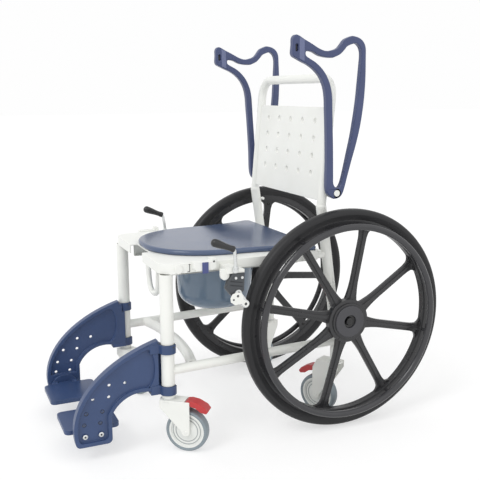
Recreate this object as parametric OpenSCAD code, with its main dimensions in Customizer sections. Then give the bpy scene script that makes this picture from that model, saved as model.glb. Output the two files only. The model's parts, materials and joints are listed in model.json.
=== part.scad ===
// Self-propelled shower commode chair: tube frame, drive wheels, swivel casters,
// swing-away leg rests, fold-up armrests, lift-off lid and slide-out pan.
// Millimetres. X across (left of the sitter is +X), Y rearward, Z up, floor at Z 0.

/* [Drive wheels] */
// outside diameter over the tyre
wheel_d = 600; // [592:2:606]
// width of the tyre
tyre_w = 34; // [30:1:36]
// height of the tyre above its seat in the rim
tyre_h = 28; // [24:1:32]
// distance between the two tyre mid planes
wheel_track = 524; // [520:2:532]
// radial height of the rim ring
rim_h = 19; // [16:1:22]
// number of moulded spokes
spoke_count = 8; // [6:1:10]
// width of a spoke in its middle
spoke_w = 22; // [18:1:26]
// turn of the left wheel, from the rear towards the top
left_spoke_turn = -13.5; // [-45:0.5:45]
// turn of the right wheel, from the rear towards the top
right_spoke_turn = 40; // [-45:0.5:45]
// outside of the push rim inside the tread
push_rim_inset = 34; // [32:1:40]
// tube diameter of the push rim
push_rim_tube = 18; // [16:1:20]
// distance from the tyre mid plane out to the push rim
push_rim_out = 37; // [36:1:42]
// diameter of the hub flange
hub_flange_d = 118; // [110:2:126]
// diameter of the round hub cap
hub_cap_d = 98; // [90:2:104]
// diameter of the quick-release axle
axle_d = 12; // [11:0.5:13]

/* [Frame] */
// tube centres inside the tyre mid planes
frame_inset = 52; // [50:1:57]
// wall of every tube
tube_wall = 2; // [1.5:0.5:2.5]
// diameter of the front uprights
upright_d = 34; // [32:1:36]
// front uprights ahead of the axle
upright_ahead = 483; // [478:1:490]
// diameter of the bottom side rails
rail_d = 25; // [22:1:28]
// side rails below the axle at the front uprights
rail_front_drop = 91; // [86:1:96]
// side rails below the axle at the rear posts
rail_rear_drop = 78; // [74:1:86]
// diameter of the bowed cross tube
cross_d = 28; // [24:1:28]
// cross tube ends ahead of the axle
cross_ahead = 414; // [400:2:430]
// rearward bow of the cross tube
cross_bow = 25; // [18:1:40]
// diameter of the rear posts
post_d = 28; // [26:1:30]
// foot of the rear posts ahead of the axle
post_foot_ahead = -6; // [-8:1:-4]
// bend of the rear posts ahead of the axle
post_bend_ahead = 47; // [42:1:52]
// start of the rear posts' lean below the axle
post_lean_drop = 58; // [50:1:60]
// bend of the posts into the backrest above the axle
post_bend_rise = 300; // [290:2:306]

/* [Backrest] */
// diameter of the backrest hoop tube
hoop_d = 25; // [22:1:26]
// centre line of the top bar above the bend
hoop_rise = 336; // [320:2:360]
// recline of the backrest
hoop_lean = 4.8; // [3:0.2:7]
// corner radius of the hoop
hoop_corner = 52; // [44:2:64]
// thickness of the back panel
panel_t = 9; // [7:1:12]
// height of the back panel along the hoop
panel_h = 246; // [236:2:252]
// lower edge of the panel above the bend, along the hoop
panel_from = 16; // [14:1:24]
// diameter of the vent holes
vent_d = 15; // [10:1:18]
// spacing of the vent holes across
vent_pitch_x = 71.5; // [64:0.5:76]
// spacing of the vent holes up
vent_pitch_z = 47; // [40:1:50]

/* [Seat] */
// seat board out past the tube centres
seat_lap = 18; // [15:0.5:20]
// front edge of the seat board ahead of the axle
seat_front_ahead = 500; // [496:1:506]
// rear edge of the seat board ahead of the axle
seat_rear_ahead = 62; // [58:1:70]
// lower edge of the seat board's skirt above the axle
seat_rise = 161; // [156:1:162]
// height of the skirt
seat_t = 26; // [25:1:28]
// front corner radius of the seat board
seat_corner = 42; // [34:2:50]
// width of the commode opening
opening_w = 206; // [190:2:210]
// length of the commode opening
opening_l = 290; // [260:2:300]
// waist of the lid in from the side of the seat board
lid_waist_inset = 47; // [40:1:54]
// straight rear edge of the lid in from the side of the seat board
lid_rear_inset = 6; // [2:1:16]
// lid waist ahead of the axle
lid_waist_ahead = 276; // [266:1:284]
// front tip of the lid ahead of the axle
lid_tip_ahead = 482; // [476:1:488]
// thickness of the lid
lid_t = 14; // [12:1:16]

/* [Pan] */
// diameter of the pan's body at the top
pan_d = 222; // [210:2:230]
// diameter of the pan's rim
pan_rim_d = 270; // [262:2:272]
// depth of the pan below its rim
pan_depth = 131; // [122:1:140]
// underside of the pan's rim below the seat board's skirt
pan_rim_drop = 21; // [19:1:25]
// pan centre ahead of the axle
pan_ahead = 272; // [264:1:278]
// wall of the pan
pan_wall = 3; // [2.5:0.5:4]
// width of the pan's handle across its shoulders
handle_w = 112; // [104:2:120]
// width of the handle at its foot
handle_low_w = 54; // [48:2:60]
// drop of the handle below the pan's rim
handle_drop = 92; // [80:2:94]
// handle ahead of the pan's rim
handle_run = 45; // [42:1:48]
// width of the handle's bars
handle_bar = 15; // [13:0.5:17]
// thickness of the handle
handle_t = 13; // [11:0.5:15]

/* [Casters] */
// outside diameter of the caster wheels
caster_d = 111; // [106:1:114]
// width of the caster tyres
caster_w = 28; // [26:1:30]
// trail of the caster wheels behind their stems
caster_trail = 50; // [48:1:52]
// top of the front caster forks
front_fork_z = 136; // [134:1:138]
// top of the rear caster forks
rear_fork_z = 162; // [156:1:166]
// heading of the left front caster from straight back, round the outside
front_left_heading = 37.5; // [25:0.5:50]
// heading of the right front caster from straight back, round the outside
front_right_heading = 300; // [285:1:315]
// heading of the left rear caster from straight back, round the outside
rear_left_heading = 240; // [226:1:256]
// heading of the right rear caster from straight back, round the outside
rear_right_heading = 210; // [196:1:224]

/* [Leg rests] */
// mid planes of the leg plates inside the tube centres
leg_inset = 14; // [13:0.5:15]
// thickness of a leg plate
leg_t = 22; // [20:1:22]
// run of the plate's outer curve, from its middle to the toe
leg_curve_run = 383; // [380:1:386]
// rise of the plate's outer curve
leg_curve_rise = 231; // [226:1:234]
// radius of the arch over the caster
leg_arch_r = 87; // [85:1:89]
// width of the raised border round the plate
leg_border = 10; // [8:1:14]
// lower edge of the leg plate
leg_bottom_z = 40; // [36:1:44]
// diameter of the footplate setting holes
set_hole_d = 8; // [6:0.5:9]
// spacing of the two holes of a setting
set_pitch = 40; // [36:1:42]
// inner edge of a footplate from the middle of the chair
foot_in_x = 37.4; // [34:0.2:50]
// length of a footplate
foot_l = 140; // [130:2:142]
// thickness of a footplate
foot_t = 12; // [10:1:12]
// front edge of the footplates ahead of the axle
foot_front_ahead = 740; // [738:1:744]

/* [Armrests] */
// length of an armrest from its hinge to its crest
arm_len = 400; // [390:2:402]
// thickness of an armrest
arm_t = 18; // [16:1:20]
// mid planes of the armrests out from the tube centres
arm_out = 30; // [28:0.5:33]
// hinge of the armrests ahead of the axle
arm_ahead = 22.5; // [21:0.5:24]
// hinge of the armrests above the bend of the posts
arm_rise = 40; // [38:1:44]
// forward lean of the right armrest, beside the left one
right_arm_lean = 1.8; // [0:0.2:3]
// diameter of the armrest hinge pin
arm_pin_d = 17; // [14:0.5:18]

/* [Brakes] */
// diameter of the brake roller
roller_d = 20; // [18:1:21]
// gap from the brake roller to the tyre
brake_gap = 1.5; // [1.2:0.1:3]
// angle of the brake roller above the axle
brake_angle = 15.4; // [14.5:0.1:16]
// diameter of the brake lever rod
lever_d = 8; // [7:0.5:9]
// length of the brake grip
grip_l = 64; // [56:1:70]
// largest diameter of the brake grip
grip_d = 21; // [18:0.5:22]

/* [Hidden] */
$fn = 64;
eps = 0.5;
weld_gap = 0.1;
run_gap = 0.3;
over = 30;
sheet_t = 3;
screw_d = 7;
screw_h = 2.4;
wheel_r = wheel_d / 2;
wheel_x = wheel_track / 2;
axle_z = wheel_r;
axle_y = (foot_front_ahead - wheel_r) / 2;
frame_x = wheel_x - frame_inset;
push_rim_d = wheel_d - 2 * push_rim_inset;
rail_front_z = axle_z - rail_front_drop;
rail_rear_z = axle_z - rail_rear_drop;
post_lean_z = axle_z - post_lean_drop;
post_bend_z = axle_z + post_bend_rise;
hoop_top_z = post_bend_z + hoop_rise;
seat_bottom_z = axle_z + seat_rise;
tyre_in_r = wheel_r - tyre_h;
rim_in_r = tyre_in_r - rim_h;
rim_half = tyre_w * 0.36;
hub_half = 24;
hub_cap_t = 9;
hub_bore_r = axle_d / 2 + run_gap;
seat_top_z = seat_bottom_z + seat_t;
seat_rail_d = 20;
seat_rail_z = seat_bottom_z + seat_rail_d / 2;
skirt_t = 4;
board_t = 4.5;
post_foot_y = axle_y - post_foot_ahead;
post_bend_y = axle_y - post_bend_ahead;
upright_y = axle_y - upright_ahead;
lean_run = post_foot_ahead - post_bend_ahead;
lean_rise = post_bend_z - post_lean_z;
post_lean = atan(-lean_run / lean_rise);
post_len = sqrt(lean_run * lean_run + lean_rise * lean_rise);
hoop_len = (hoop_top_z - post_bend_z) / cos(hoop_lean);
rail_run = upright_ahead - post_foot_ahead;
rail_climb = rail_rear_z - rail_front_z;
rail_tilt = atan(rail_climb / rail_run);
bush_flange = 4;
bush_h = 40;
stem_d = 12;
arm_x = frame_x + arm_out;
arm_z = post_bend_z + arm_rise;
arm_y = axle_y - arm_ahead;
leg_x = frame_x - leg_inset;
skirt_x = frame_x + seat_lap;
lid_waist = skirt_x - lid_waist_inset;
lid_rear = skirt_x - lid_rear_inset;
pan_rim_z = seat_bottom_z - pan_rim_drop;
pan_bottom_z = pan_rim_z - pan_depth;

// points of an arc from angle a to angle b
function arc(cx, cy, r, a, b, n) =
  [for (i = [0:n]) [cx + r * cos(a + (b - a) * i / n), cy + r * sin(a + (b - a) * i / n)]];

// point of a smooth closed curve between p1 and p2
function curve_pt(p0, p1, p2, p3, t) =
  0.5 * (2 * p1 + (p2 - p0) * t + (2 * p0 - 5 * p1 + 4 * p2 - p3) * t * t
  + (3 * p1 - p0 - 3 * p2 + p3) * t * t * t);

// smooth closed curve through shares of a length
function smooth(s, whole, k) =
  let (n = len(s))
  [for (i = [0:n - 1]) for (j = [0:k - 1])
    whole * curve_pt(s[(i + n - 1) % n], s[i], s[(i + 1) % n], s[(i + 2) % n], j / k)];

// rounded rectangle, lower corners of radius ra and upper corners of radius rb
function round_box(hw, y0, y1, ra, rb, n) = concat(
  arc(hw - ra, y0 + ra, ra, -90, 0, n),
  arc(hw - rb, y1 - rb, rb, 0, 90, n),
  arc(rb - hw, y1 - rb, rb, 90, 180, n),
  arc(ra - hw, y0 + ra, ra, 180, 270, n));

// the same piece on the left and on the right
module both() {
  children();
  mirror([1, 0, 0]) children();
}

// outline drawn in Y and Z, with thickness along X from x
module across(x, t) {
  translate([x, 0, 0]) rotate([90, 0, 90]) linear_extrude(t) children();
}

// round bar along X from x
module bar_x(x, y, z, d, l) {
  translate([x, y, z]) rotate([0, 90, 0]) cylinder(d = d, h = l);
}

// block between two corners
module block(a, b) {
  translate(a) cube(b - a);
}

// solid rod from a to b
module rod(a, b, d) {
  v = b - a;
  l = norm(v);
  translate(a) rotate([0, acos(v[2] / l), atan2(v[1], v[0])]) cylinder(d = d, h = l);
}

// left rear post as a solid of diameter d
module post_solid(d, grow) {
  translate([frame_x, post_foot_y, rear_fork_z + run_gap + bush_flange - grow])
    cylinder(d = d, h = post_lean_z - rear_fork_z - run_gap - bush_flange + grow);
  translate([frame_x, post_foot_y, post_lean_z]) sphere(d = d);
  translate([frame_x, post_foot_y, post_lean_z]) rotate([post_lean, 0, 0]) cylinder(d = d, h = post_len);
}

// frame of the reclined backrest: local Z runs up the hoop
module reclined() {
  translate([0, post_bend_y, post_bend_z]) rotate([-hoop_lean, 0, 0]) children();
}

// left half of the hoop as a solid of diameter d
module hoop_half(d) {
  translate([frame_x, 0, 0]) cylinder(d = d, h = hoop_len - hoop_corner);
  translate([frame_x - hoop_corner, 0, hoop_len - hoop_corner])
    rotate([90, 0, 0]) rotate_extrude(angle = 90) translate([hoop_corner, 0]) circle(d = d);
  translate([0, 0, hoop_len]) rotate([0, 90, 0]) cylinder(d = d, h = frame_x - hoop_corner);
}

// frame body

module front_uprights() {
  z0 = front_fork_z + run_gap + bush_flange;
  color("#f0f1ec") both() translate([frame_x, upright_y, z0]) difference() {
    cylinder(d = upright_d, h = seat_bottom_z - weld_gap - z0);
    translate([0, 0, -over]) cylinder(d = upright_d - 2 * tube_wall, h = seat_bottom_z);
  }
}

// side rail as a solid of diameter d, running on past both ends by grow
module rail_solid(d, grow) {
  translate([frame_x, upright_y, rail_front_z]) rotate([rail_tilt - 90, 0, 0])
    translate([0, 0, -grow]) cylinder(d = d, h = rail_run / cos(rail_tilt) + 2 * grow);
}

module bottom_rails() {
  color("#f0f1ec") both() difference() {
    rail_solid(rail_d, 0);
    rail_solid(rail_d - 2 * tube_wall, over);
    translate([frame_x, upright_y, 0]) cylinder(d = upright_d + 2 * weld_gap, h = seat_top_z);
    post_solid(post_d + 2 * weld_gap, 0);
  }
}

module back_frame() {
  bore = post_d - 2 * tube_wall;
  hoop_bore = hoop_d - 2 * tube_wall;
  color("#f0f1ec") difference() {
    union() {
      both() post_solid(post_d, 0);
      translate([0, post_bend_y, post_bend_z]) both() translate([frame_x, 0, 0]) sphere(d = post_d);
      reclined() both() hoop_half(hoop_d);
    }
    both() post_solid(bore, over);
    both() translate([frame_x, post_bend_y, post_bend_z]) sphere(d = hoop_bore);
    reclined() both() hoop_half(hoop_bore);
  }
}

module cross_tube() {
  y = axle_y - cross_ahead;
  half = frame_x - rail_d / 2;
  r = (half * half + cross_bow * cross_bow) / (2 * cross_bow);
  turn = asin((half + rail_d / 4) / r);
  spare = 1;
  z = rail_front_z + (upright_ahead - cross_ahead) * tan(rail_tilt);
  color("#f0f1ec") difference() {
    translate([0, y + cross_bow - r, z]) rotate([0, 0, 90 - turn]) difference() {
      rotate_extrude(angle = 2 * turn) translate([r, 0]) circle(d = cross_d);
      rotate([0, 0, -spare]) rotate_extrude(angle = 2 * turn + 2 * spare) translate([r, 0])
        circle(d = cross_d - 2 * tube_wall);
    }
    both() rail_solid(rail_d + 2 * weld_gap, over);
  }
}

module seat_rails() {
  front = axle_y - seat_front_ahead + seat_corner;
  cross_y = axle_y - seat_rear_ahead + seat_rail_d;
  bore = seat_rail_d - 2 * tube_wall;
  color("#f0f1ec") difference() {
    union() {
      both() translate([frame_x, front, seat_rail_z]) rotate([-90, 0, 0])
        cylinder(d = seat_rail_d, h = post_foot_y - front);
      bar_x(-frame_x, cross_y, seat_rail_z, seat_rail_d, 2 * frame_x);
    }
    both() translate([frame_x, front - over, seat_rail_z]) rotate([-90, 0, 0])
      cylinder(d = bore, h = post_foot_y - front + over);
    bar_x(-frame_x, cross_y, seat_rail_z, bore, 2 * frame_x);
    both() post_solid(post_d + 2 * weld_gap, 0);
    both() block([0, post_foot_y - post_d * 0.9, 0], [2 * skirt_x, post_foot_y + over, hoop_top_z]);
  }
}

module seat_board() {
  y0 = axle_y - seat_front_ahead;
  y1 = axle_y - seat_rear_ahead;
  hole_y = axle_y - pan_ahead;
  plug_d = 22;
  plug_ahead = 455;
  notch_half = handle_w / 2 + skirt_t;
  notch_run = 22;
  color("#f1f2ee") difference() {
    union() {
      translate([0, 0, seat_bottom_z]) linear_extrude(seat_t)
        polygon(round_box(skirt_x, y0, y1, seat_corner, 2 * skirt_t, 12));
      both() bar_x(skirt_x - eps, axle_y - plug_ahead, seat_bottom_z + plug_d * 0.55, plug_d, sheet_t);
    }
    translate([0, 0, seat_bottom_z - over]) linear_extrude(seat_t - board_t + over)
      polygon(round_box(skirt_x - skirt_t, y0 + skirt_t, y1 + over, seat_corner - skirt_t, skirt_t, 12));
    translate([0, hole_y, seat_bottom_z - over]) linear_extrude(seat_t + 2 * over)
      polygon([for (a = [0:6:354]) [opening_w / 2 * cos(a), opening_l / 2 * sin(a)]]);
    block([-notch_half, y0 - over, seat_bottom_z - over], [notch_half, y0 + notch_run, seat_top_z + over]);
  }
}

module backrest_panel() {
  half = frame_x - hoop_d / 4;
  up = panel_from + panel_h / 2;
  color("#f1f2ee") reclined() difference() {
    translate([0, panel_t / 2, 0]) rotate([90, 0, 0]) linear_extrude(panel_t)
      polygon(round_box(half, panel_from, panel_from + panel_h, panel_t, panel_t, 6));
    both() translate([frame_x, 0, 0]) cylinder(d = hoop_d + 2 * weld_gap, h = hoop_len);
    for (i = [-2:2]) for (j = [-1.5:1.5])
      translate([i * vent_pitch_x, over, up + panel_from + j * vent_pitch_z])
        rotate([90, 0, 0]) cylinder(d = vent_d, h = 2 * over, $fn = 24);
  }
}

module axle_sockets() {
  socket_d = 30;
  inner = frame_x;
  outer = wheel_x - hub_half - 2 * eps;
  color("#e9eae6") both() difference() {
    bar_x(inner, axle_y, axle_z, socket_d, outer - inner);
    bar_x(inner - over, axle_y, axle_z, axle_d + 2 * weld_gap, outer - inner + 2 * over);
    post_solid(post_d + 2 * weld_gap, 0);
    block(
      [0, axle_y - socket_d, axle_z - socket_d],
      [frame_x + post_d * 0.3, axle_y + socket_d, axle_z + socket_d]);
  }
}

module wheel_axles() {
  inner = frame_x + post_d * 0.55;
  outer = wheel_x + hub_half;
  button_bore = axle_d / 2;
  color("#c9cbcc") both() difference() {
    bar_x(inner, axle_y, axle_z, axle_d, outer - inner);
    bar_x(outer - over, axle_y, axle_z, button_bore, 2 * over);
  }
}

module pan_runners() {
  y0 = axle_y - seat_front_ahead + 8 * skirt_t;
  y1 = axle_y - seat_rear_ahead - 4 * skirt_t;
  x1 = pan_rim_d / 2 + 2 * run_gap;
  lip = 9;
  z = pan_rim_z - run_gap - sheet_t;
  top = seat_top_z - board_t - weld_gap;
  color("#dfe1df") both() {
    across_lip = x1 - lip;
    block([across_lip, y0, z], [x1 + sheet_t, y1, z + sheet_t]);
    block([x1, y0, z + sheet_t - eps], [x1 + sheet_t, y1, top]);
    block([x1 + sheet_t - eps, y0, top - sheet_t], [x1 + 3 * lip, y1, top]);
  }
}

module armrest_hinges() {
  boss_d = 30;
  inner = frame_x + hoop_d * 0.2;
  outer = arm_x - arm_t / 2 - run_gap;
  color("#eceeea") both() difference() {
    union() {
      bar_x(inner, arm_y, arm_z, boss_d, outer - inner);
      bar_x(outer - eps, arm_y, arm_z, arm_pin_d, arm_t + 2 * run_gap + 2 * eps);
    }
    reclined() translate([frame_x, 0, 0]) cylinder(d = hoop_d + 2 * weld_gap, h = hoop_len);
  }
}

// height of the armrest tip when it is folded down
fold_angle = 91;
tip_share = [-0.337, 0.888];
rest_top_z = arm_z + arm_len * (tip_share[0] * sin(fold_angle) + tip_share[1] * cos(fold_angle)) - 2 * eps;
rest_out_x = arm_x + arm_t / 2;
rest_gap = 15.7;
rest_l = 60;
ear = 7;

module armrest_rests() {
  y1 = bracket_front_y - rest_gap;
  y0 = y1 - rest_l;
  depth = 30;
  color("#f1f2ee") both() {
    across(skirt_x + weld_gap, rest_out_x - skirt_x - weld_gap) polygon([
      [y0, rest_top_z - ear], [y0, rest_top_z - depth * 0.7], [y0 + ear, rest_top_z - depth],
      [y1 - ear, rest_top_z - depth * 0.95], [y1, rest_top_z - depth * 0.8], [y1, rest_top_z],
      [y1 - 2 * ear, rest_top_z], [y1 - 2 * ear, rest_top_z - ear]]);
  }
}

module rest_strips() {
  strip_w = 16;
  strip_h = 28;
  y = bracket_front_y - rest_gap - 1.9 * strip_w;
  top = rest_top_z - ear - eps;
  color("#4c5580") both() block([rest_out_x + weld_gap, y - strip_w / 2, top - strip_h],
    [rest_out_x + weld_gap + sheet_t, y + strip_w / 2, top]);
}

// brake, placed from the roller beside the tyre
roller_y = axle_y - (wheel_r + roller_d / 2 + brake_gap) * cos(brake_angle);
roller_z = axle_z + (wheel_r + roller_d / 2 + brake_gap) * sin(brake_angle);
house_in_x = wheel_x;
house_t = 18;
house_out_x = house_in_x + house_t;
bracket_z = seat_bottom_z + eps;
bracket_h = 17;
bracket_front_run = 47;
bracket_rear_run = 1;
lever_run = 25;
shoe_run = 19;
shoe_rise = 29;
bracket_front_y = roller_y - bracket_front_run;
bracket_rear_y = roller_y + bracket_rear_run;
lever_y = roller_y - lever_run;
lever_z = bracket_z + bracket_h / 2;
lever_x = house_out_x - sheet_t;
lever_t = 4;
shoe_y = roller_y - shoe_run;
shoe_z = roller_z + shoe_rise;
shoe_t = 4;
shoe_hub_d = 18;
pin_d = 8;

module brake_brackets() {
  y0 = bracket_front_y;
  y1 = bracket_rear_y;
  end_x = lever_x - run_gap;
  color("#ebece8") both() {
    across(skirt_x + weld_gap, end_x - skirt_x - weld_gap) polygon(concat(
      [[y0, bracket_z], [y1, bracket_z], [y1, bracket_z + bracket_h * 0.5]],
      arc(lever_y, lever_z, bracket_h / 2, 60, 120, 8),
      [[y0, bracket_z + bracket_h]]));
    bar_x(end_x - eps, lever_y, lever_z, pin_d, lever_t + 2 * run_gap + eps);
  }
}

module brake_housings() {
  top = bracket_z - weld_gap;
  y = roller_y;
  z = roller_z;
  low = 20;
  mid = 33;
  front = 50;
  rib = 2;
  color("#45484c") both() {
    difference() {
      across(house_in_x, house_t) polygon([
        [y - mid, top], [y, top], [y - rib, z + mid], [shoe_y, z + low], [shoe_y - rib * 7, z + low],
        [y - front, z + mid + rib * 4], [y - front + rib * 3, top - low]]);
      for (i = [0:1]) across(house_out_x - rib, over) polygon([
        [y - mid - rib * 3, z + mid + rib * (8 + 5 * i)], [y - 3 * rib, z + mid + rib * (5 + 5 * i)],
        [y - 3 * rib, z + mid + rib * (6 + 5 * i)], [y - mid - rib * 3, z + mid + rib * (9 + 5 * i)]]);
    }
    bar_x(house_out_x - eps, shoe_y, shoe_z, pin_d, shoe_t + 2 * run_gap + eps);
  }
}

// rear stems stand in the posts, front stems in the uprights
module bush(d, fork_z) {
  difference() {
    union() {
      translate([0, 0, fork_z + run_gap]) cylinder(d = d, h = bush_flange - weld_gap);
      translate([0, 0, fork_z + run_gap]) cylinder(d = d - 2 * tube_wall - 2 * weld_gap, h = bush_h);
    }
    translate([0, 0, fork_z - over]) cylinder(d = stem_d + 2 * run_gap, h = bush_h + 2 * over);
  }
}

module stem_bushes() {
  color("#d7d9d6") both() {
    translate([frame_x, upright_y, 0]) bush(upright_d, front_fork_z);
    translate([frame_x, post_foot_y, 0]) bush(post_d, rear_fork_z);
  }
}

module frame_screws() {
  screw_run = 8;
  screw_drop = 11;
  y1 = roller_y - lever_run;
  y2 = roller_y - screw_run;
  z = bracket_z - screw_drop;
  color("#55585b") both() {
    bar_x(house_out_x + weld_gap, y1, z, screw_d, screw_h);
    bar_x(house_out_x + weld_gap, y2, z, screw_d, screw_h);
  }
}

// drive wheels: the wheel axis is local Z, outboard is up, mid plane at 0

module wheel_place(side, turn) {
  mirror([side < 0 ? 1 : 0, 0, 0]) translate([wheel_x, axle_y, axle_z])
    rotate([0, 90, 0]) rotate([0, 0, 90 + turn]) children();
}

module tyre_shape() {
  foot = tyre_w * 0.36;
  mid = tyre_in_r + tyre_h * 0.48;
  top = wheel_r - mid;
  rotate_extrude($fn = 128) polygon(concat(
    [[tyre_in_r, -foot]],
    [for (a = [0:12:180]) [
      mid + top * pow(sin(a), 0.75),
      -tyre_w / 2 * sign(cos(a)) * pow(abs(cos(a)), 0.8)]],
    [[tyre_in_r, foot]]));
}

// half width of a spoke at a share s of its length
function spoke_half(s) = spoke_w / 2
  * (1 + 0.85 * pow(max(0, (s - 0.8) / 0.2), 2) + 0.7 * pow(max(0, (0.3 - s) / 0.3), 2));

module spoke_bar(width_share, t, l, from) {
  linear_extrude(t) polygon(concat(
    [for (i = [0:12]) [from + l * i / 12, width_share * spoke_half(i / 12)]],
    [for (i = [12:-1:0]) [from + l * i / 12, -width_share * spoke_half(i / 12)]]));
}

module rim_shape() {
  seat = tyre_in_r - weld_gap;
  lip = rim_half * 0.8;
  flange_z = 4;
  dish = 3.4;
  spoke_t = 10;
  rib_t = 4.5;
  from = hub_flange_d / 2 - 2 * flange_z;
  l = rim_in_r - from + 0.4 * rim_h;
  difference() {
    union() {
      rotate_extrude($fn = 128) polygon([
        [rim_in_r, -lip], [rim_in_r + 0.3 * rim_h, -rim_half], [seat, -rim_half],
        [seat, rim_half], [rim_in_r + 0.3 * rim_h, rim_half], [rim_in_r, lip]]);
      for (i = [0:spoke_count - 1]) rotate([0, 0, 360 * i / spoke_count]) rotate([0, dish, 0]) {
        translate([0, 0, hub_half * 0.25]) spoke_bar(1, spoke_t, l, from);
        translate([0, 0, hub_half * 0.25 + spoke_t - eps]) spoke_bar(0.35, rib_t, l, from);
      }
      translate([0, 0, flange_z]) cylinder(d = hub_flange_d, h = hub_half - flange_z - weld_gap);
      translate([0, 0, -hub_half]) cylinder(d = hub_flange_d * 0.5, h = hub_half + flange_z + eps);
    }
    translate([0, 0, -over]) cylinder(r = hub_bore_r, h = hub_half + 2 * over);
  }
}

module push_rim_shape() {
  r = push_rim_d / 2 - push_rim_tube / 2;
  stay_d = 9;
  stay_r = rim_in_r + rim_h * 0.38;
  rotate_extrude($fn = 128) translate([r, push_rim_out]) circle(d = push_rim_tube, $fn = 32);
  for (i = [0:spoke_count - 1]) rotate([0, 0, 360 * i / spoke_count])
    translate([stay_r, 0, rim_half + weld_gap])
      cylinder(d = stay_d, h = push_rim_out - rim_half - weld_gap, $fn = 24);
}

module hub_cap_shape() {
  recess_r = 17.5;
  r = hub_cap_d / 2;
  step = 2;
  translate([0, 0, hub_half]) rotate_extrude() polygon([
    [hub_bore_r + 2 * step, 0], [r, 0], [r, hub_cap_t * 0.55], [r - step, hub_cap_t * 0.8],
    [r - 3 * step, hub_cap_t], [recess_r + step, hub_cap_t], [recess_r, hub_cap_t - step],
    [recess_r, step], [hub_bore_r + 2 * step, step]]);
}

module button_shape() {
  r = 10;
  travel = 4;
  stem = axle_d / 4 - run_gap;
  base = hub_half + travel + run_gap;
  h = 4;
  rotate_extrude() polygon(concat(
    [[0, base - travel * 3], [stem, base - travel * 3], [stem, base], [r, base]],
    [for (a = [0:15:90]) [r * cos(a), base + h * 0.4 + h * 0.6 * sin(a)]]));
}

module left_tyre() {
  color("#39393b") wheel_place(1, left_spoke_turn) tyre_shape();
}

module left_rim() {
  color("#3d3d40") wheel_place(1, left_spoke_turn) rim_shape();
}

module left_push_rim() {
  color("#4a4a4d") wheel_place(1, left_spoke_turn) push_rim_shape();
}

module left_hub_cap() {
  color("#4b4b4e") wheel_place(1, left_spoke_turn) hub_cap_shape();
}

module left_axle_button() {
  color("#b4b6b8") wheel_place(1, left_spoke_turn) button_shape();
}

module right_tyre() {
  color("#39393b") wheel_place(-1, right_spoke_turn) tyre_shape();
}

module right_rim() {
  color("#3d3d40") wheel_place(-1, right_spoke_turn) rim_shape();
}

module right_push_rim() {
  color("#4a4a4d") wheel_place(-1, right_spoke_turn) push_rim_shape();
}

module right_hub_cap() {
  color("#4b4b4e") wheel_place(-1, right_spoke_turn) hub_cap_shape();
}

module right_axle_button() {
  color("#b4b6b8") wheel_place(-1, right_spoke_turn) button_shape();
}

// casters: local Y is the way the wheel trails, local Z the height above the floor
caster_r = caster_d / 2;
fork_gap = 3;
fork_wall = 3;
fork_in = caster_w / 2 + fork_gap;
fork_out = fork_in + fork_wall;
fork_axle_d = 8;
pedal_pin_d = 6;
pedal_back = 5;
pedal_y = caster_trail + pedal_back;
pedal_drop = 6;
pedal_w = 2 * fork_in - 4 * run_gap;

module caster_place(side, y, heading) {
  mirror([side < 0 ? 1 : 0, 0, 0]) translate([frame_x, y, 0]) rotate([0, 0, -heading]) children();
}

module fork_shape(top) {
  plate_t = 5;
  nose = 24;
  boss = 11;
  stem_h = 34;
  tail = pedal_y + pedal_pin_d;
  pin_z = front_fork_z - pedal_drop;
  translate([0, 0, top - eps]) cylinder(d = stem_d, h = stem_h + eps);
  translate([0, 0, top - plate_t]) cylinder(d = 2 * nose * 0.92, h = plate_t);
  block([-fork_out, 0, top - plate_t], [fork_out, caster_trail - fork_gap, top]);
  for (s = [-1, 1]) {
    across(s > 0 ? fork_in : -fork_out, fork_wall) polygon([
      [-nose * 0.8, top], [caster_trail - fork_gap, top],
      [tail, pin_z + pedal_pin_d], [tail, pin_z - pedal_pin_d],
      [caster_trail + boss, caster_r], [caster_trail - boss, caster_r], [-nose * 0.8, top - 4 * plate_t]]);
    bar_x(s > 0 ? fork_in : -fork_out, caster_trail, caster_r, 2 * boss, fork_wall);
  }
  bar_x(-fork_out - screw_h, caster_trail, caster_r, fork_axle_d, 2 * fork_out + 2 * screw_h);
  bar_x(-fork_out, pedal_y, pin_z, pedal_pin_d, 2 * fork_out);
}

module disc_shape() {
  r = caster_r * 0.83;
  half = caster_w * 0.42;
  face = caster_w * 0.3;
  hub = 15;
  step = 2;
  bore = fork_axle_d / 2 + run_gap;
  translate([0, caster_trail, caster_r]) rotate([0, 90, 0]) rotate_extrude() polygon([
    [bore, -half - step], [hub, -half - step], [hub + step, -half], [r * 0.55, -face], [r * 0.86, -face],
    [r * 0.9, -half], [r, -half], [r, half], [r * 0.9, half], [r * 0.86, face], [r * 0.55, face],
    [hub + step, half], [hub, half + step], [bore, half + step]]);
}

module tread_shape() {
  r = caster_r * 0.83 + weld_gap;
  half = caster_w / 2;
  mid = r + (caster_r - r) * 0.4;
  translate([0, caster_trail, caster_r]) rotate([0, 90, 0]) rotate_extrude() polygon(concat(
    [[r, -half * 0.86]],
    [for (a = [0:15:180]) [
      mid + (caster_r - mid) * pow(sin(a), 0.7),
      -half * sign(cos(a)) * pow(abs(cos(a)), 0.7)]],
    [[r, half * 0.86]]));
}

// pedal outline as shares of its length, from its pin
pedal_l = 54;
pedal_shares = [[-0.10, 0.13], [0.12, 0.16], [0.45, 0.10], [0.84, -0.10], [1, -0.30], [0.9, -0.42],
  [0.62, -0.36], [0.38, -0.18], [0.12, -0.11], [-0.10, -0.10]];

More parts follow.
